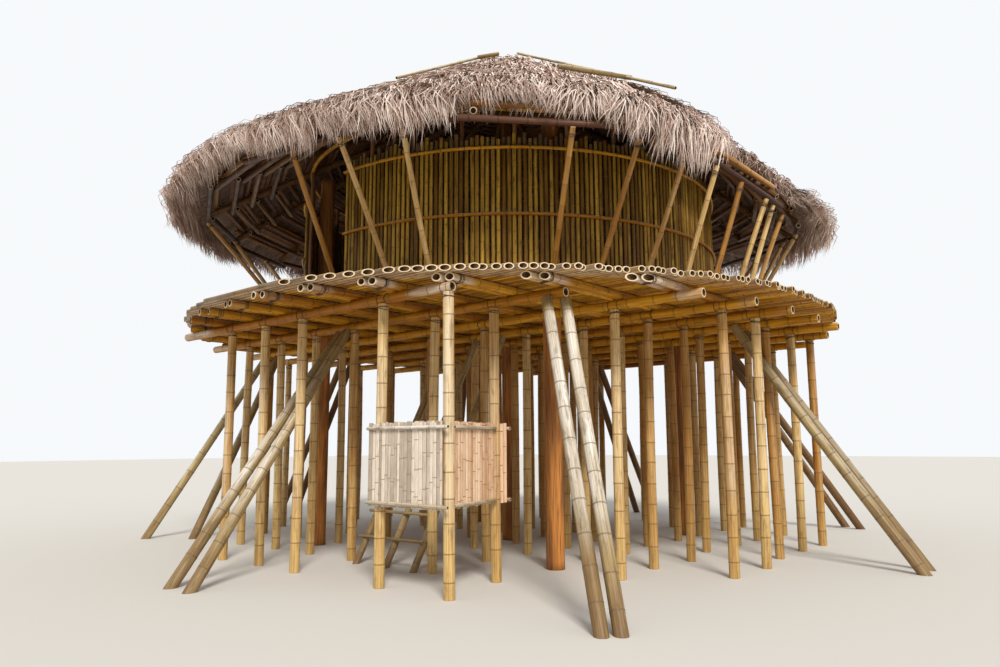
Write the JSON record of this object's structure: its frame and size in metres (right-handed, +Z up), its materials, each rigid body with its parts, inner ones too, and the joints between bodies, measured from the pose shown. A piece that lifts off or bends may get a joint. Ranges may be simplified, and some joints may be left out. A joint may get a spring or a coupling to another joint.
{
  "type": "stilt house",
  "caption": "Round bamboo house with a conical thatched roof on a round platform of canes, carried by bamboo stilts and raking struts.",
  "frame": {"origin": "centre of the foot of the centre column, on the ground", "axes": "+X along the floor beams, +Y across them, +Z up"},
  "size_m": [12.7327, 11.9901, 8.6757],
  "materials": {
    "bamboo": "golden bamboo culms with dark rings",
    "weathered_bamboo": "grey weathered bamboo",
    "wall_bamboo": "old olive brown bamboo canes",
    "timber": "peeled reddish timber",
    "thatch": "dry grass thatch",
    "screen_bamboo": "flattened bleached bamboo"
  },
  "bodies": {
    "root": {"stilts_row_1": "bamboo", "stilts_row_2": "bamboo", "stilts_row_3": "bamboo", "stilts_row_4": "bamboo", "stilts_row_5": "bamboo", "stilts_row_6": "bamboo", "stilts_row_7": "bamboo", "stilts_row_8": "bamboo", "stilts_row_9": "bamboo", "stilts_row_10": "bamboo", "centre_column": "timber", "outer_columns": "timber", "front_struts": "weathered_bamboo", "back_struts": "weathered_bamboo", "floor_beams": "bamboo", "floor_joists": "bamboo", "deck_1": "bamboo", "deck_2": "bamboo", "deck_3": "bamboo", "deck_4": "bamboo", "wall_1": "wall_bamboo", "wall_2": "wall_bamboo", "wall_3": "wall_bamboo", "wall_4": "wall_bamboo", "wall_5": "wall_bamboo", "wall_6": "wall_bamboo", "wall_studs": "timber", "wall_rails": "wall_bamboo", "top_plate": "wall_bamboo", "eave_props": "bamboo", "crown_ring": "timber", "rafters": "wall_bamboo", "eave_beam": "bamboo", "under_purlins": "bamboo", "purlins": "bamboo", "thatch_1": "thatch", "thatch_2": "thatch", "thatch_3": "thatch", "thatch_4": "thatch", "thatch_5": "thatch", "thatch_6": "thatch", "roof_battens": "weathered_bamboo", "roof_poles": "weathered_bamboo", "screen_left": "screen_bamboo", "screen_right": "screen_bamboo", "screen_back": "screen_bamboo", "ladder": "weathered_bamboo"}
  },
  "joints": []
}
